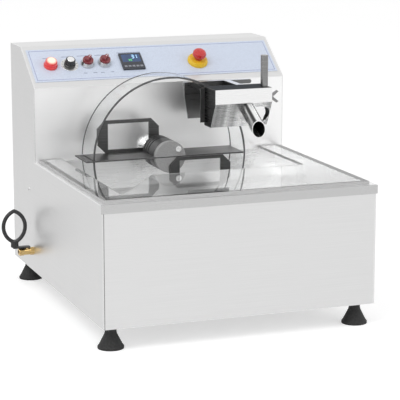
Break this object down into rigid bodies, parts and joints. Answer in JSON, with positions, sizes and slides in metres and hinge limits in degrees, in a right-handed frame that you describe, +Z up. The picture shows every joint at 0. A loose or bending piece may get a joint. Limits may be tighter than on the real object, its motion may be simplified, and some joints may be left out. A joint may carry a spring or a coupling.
{
  "type": "chocolate tempering machine",
  "caption": "Free-standing steel machine with an open heated tank, a clear scraped wheel on a horizontal shaft, and a sloped control panel behind.",
  "frame": {"origin": "on the surface under the feet, below the middle of the overall box with the valve handle", "axes": "+X to the operator's right, +Y to the back, +Z up; the wheel turns about Y"},
  "size_m": [0.619, 0.6445, 0.506],
  "materials": {
    "steel": "fine brushed",
    "polished_steel": "mirror polished",
    "dark_steel": "dull brushed",
    "clear_plastic": "clear, polished",
    "hub_plastic": "turned",
    "printed_film": "satin print",
    "black_plastic": "fine texture",
    "black_rubber": "matt",
    "bezel_metal": "satin plated",
    "red_plastic": "glossy",
    "dark_red_plastic": "glossy",
    "lamp_plastic": "lit, translucent",
    "yellow_plastic": "satin",
    "display_plastic": "glossy window",
    "key_plastic": "satin",
    "brass": "plain",
    "dial_metal": "satin",
    "motor_paint": "satin",
    "heater_steel": "drawn tube"
  },
  "bodies": {
    "machine": {"side_panel_left": "steel", "side_panel_right": "steel", "front_panel": "steel", "rear_panel": "steel", "bottom_plate": "steel", "control_housing": "steel", "tank": "steel", "water_jacket": "steel", "motor_bracket": "steel", "support_arm": "steel", "body_screws": "steel", "drain_pipe": "steel", "mirror_wall": "polished_steel", "shaft_bearing": "polished_steel", "support_rod": "polished_steel", "dial_plate": "dial_metal", "printed_panel": "printed_film", "power_inlet": "black_plastic", "controller_case": "black_plastic", "foot_front_left": "black_rubber", "foot_front_right": "black_rubber", "foot_back_left": "black_rubber", "foot_back_right": "black_rubber", "lamp_bezel": "bezel_metal", "selector_bezel_left": "bezel_metal", "selector_bezel_right": "bezel_metal", "lamp_lens": "lamp_plastic", "stop_base": "yellow_plastic", "controller_window": "display_plastic", "valve_body": "brass", "gearmotor": "motor_paint", "heating_element": "heater_steel", "temperature_probe": "heater_steel"},
    "wheel": {"drive_shaft": "polished_steel", "hub_body": "hub_plastic", "hub_cap": "dial_metal", "hub_screw": "polished_steel", "wheel_hoop": "clear_plastic", "wheel_blade": "dark_steel", "paddle_front": "dark_steel", "paddle_rear": "dark_steel"},
    "scraper": {"scraper_hood": "steel", "scraper_plate": "steel", "scraper_bridge": "steel", "scraper_wipers": "black_rubber", "spout_tube": "steel"},
    "wing_screw": {"wing_screw": "steel"},
    "speed_knob": {"speed_knob": "black_plastic"},
    "selector_left": {"selector_knob_left": "dark_red_plastic"},
    "selector_right": {"selector_knob_right": "dark_red_plastic"},
    "stop_plunger": {"stop_stem": "red_plastic"},
    "stop_button": {"stop_head": "red_plastic"},
    "drain_handle": {"valve_handle": "black_plastic"},
    "cover": {"clear_cover": "clear_plastic"},
    "key_1": {"controller_key_1": "key_plastic"},
    "key_2": {"controller_key_2": "key_plastic"},
    "key_3": {"controller_key_3": "key_plastic"},
    "key_4": {"controller_key_4": "key_plastic"},
    "key_5": {"controller_key_5": "key_plastic"}
  },
  "joints": [
    {"name": "wheel_spin", "type": "hinge", "parent": "machine", "child": "wheel", "pos_m": [0.0025, 0.04, 0.299], "axis": [0, 1, 0], "continuous": true},
    {"name": "scraper_height", "type": "slide", "parent": "machine", "child": "scraper", "axis": [0, 0, 1], "range_m": [0, 0.006]},
    {"name": "wing_screw_turn", "type": "hinge", "parent": "scraper", "child": "wing_screw", "pos_m": [0.1955, -0.05, 0.419], "axis": [1, 0, 0], "range_deg": [0, 360]},
    {"name": "speed_turn", "type": "hinge", "parent": "machine", "child": "speed_knob", "pos_m": [-0.1515, 0.1888, 0.46958], "axis": [0, -0.5872, 0.8094], "range_deg": [-270, 0]},
    {"name": "selector_left_turn", "type": "hinge", "parent": "machine", "child": "selector_left", "pos_m": [-0.1135, 0.1888, 0.46958], "axis": [0, -0.5872, 0.8094], "range_deg": [0, 90]},
    {"name": "selector_right_turn", "type": "hinge", "parent": "machine", "child": "selector_right", "pos_m": [-0.0765, 0.1888, 0.46958], "axis": [0, -0.5872, 0.8094], "range_deg": [0, 90]},
    {"name": "stop_push", "type": "slide", "parent": "machine", "child": "stop_plunger", "axis": [0, 0.5872, -0.8094], "range_m": [0, 0.005], "stiffness_N_per_m": 2000},
    {"name": "stop_twist", "type": "hinge", "parent": "stop_plunger", "child": "stop_button", "pos_m": [0.1285, 0.18314, 0.46547], "axis": [0, -0.5872, 0.8094], "range_deg": [-45, 0], "stiffness_Nm_per_rad": 0.1},
    {"name": "drain_turn", "type": "hinge", "parent": "machine", "child": "drain_handle", "pos_m": [-0.2565, 0.165, 0.0965], "axis": [0, 0, 1], "range_deg": [0, 90]},
    {"name": "cover_lift", "type": "slide", "parent": "machine", "child": "cover", "axis": [0, 0, 1], "range_m": [0, 0.05]},
    {"name": "key_1_push", "type": "slide", "parent": "machine", "child": "key_1", "axis": [0, 0.5872, -0.8094], "range_m": [0, 0.0008], "stiffness_N_per_m": 500},
    {"name": "key_2_push", "type": "slide", "parent": "machine", "child": "key_2", "axis": [0, 0.5872, -0.8094], "range_m": [0, 0.0008], "stiffness_N_per_m": 500},
    {"name": "key_3_push", "type": "slide", "parent": "machine", "child": "key_3", "axis": [0, 0.5872, -0.8094], "range_m": [0, 0.0008], "stiffness_N_per_m": 500},
    {"name": "key_4_push", "type": "slide", "parent": "machine", "child": "key_4", "axis": [0, 0.5872, -0.8094], "range_m": [0, 0.0008], "stiffness_N_per_m": 500},
    {"name": "key_5_push", "type": "slide", "parent": "machine", "child": "key_5", "axis": [0, 0.5872, -0.8094], "range_m": [0, 0.0008], "stiffness_N_per_m": 500}
  ]
}
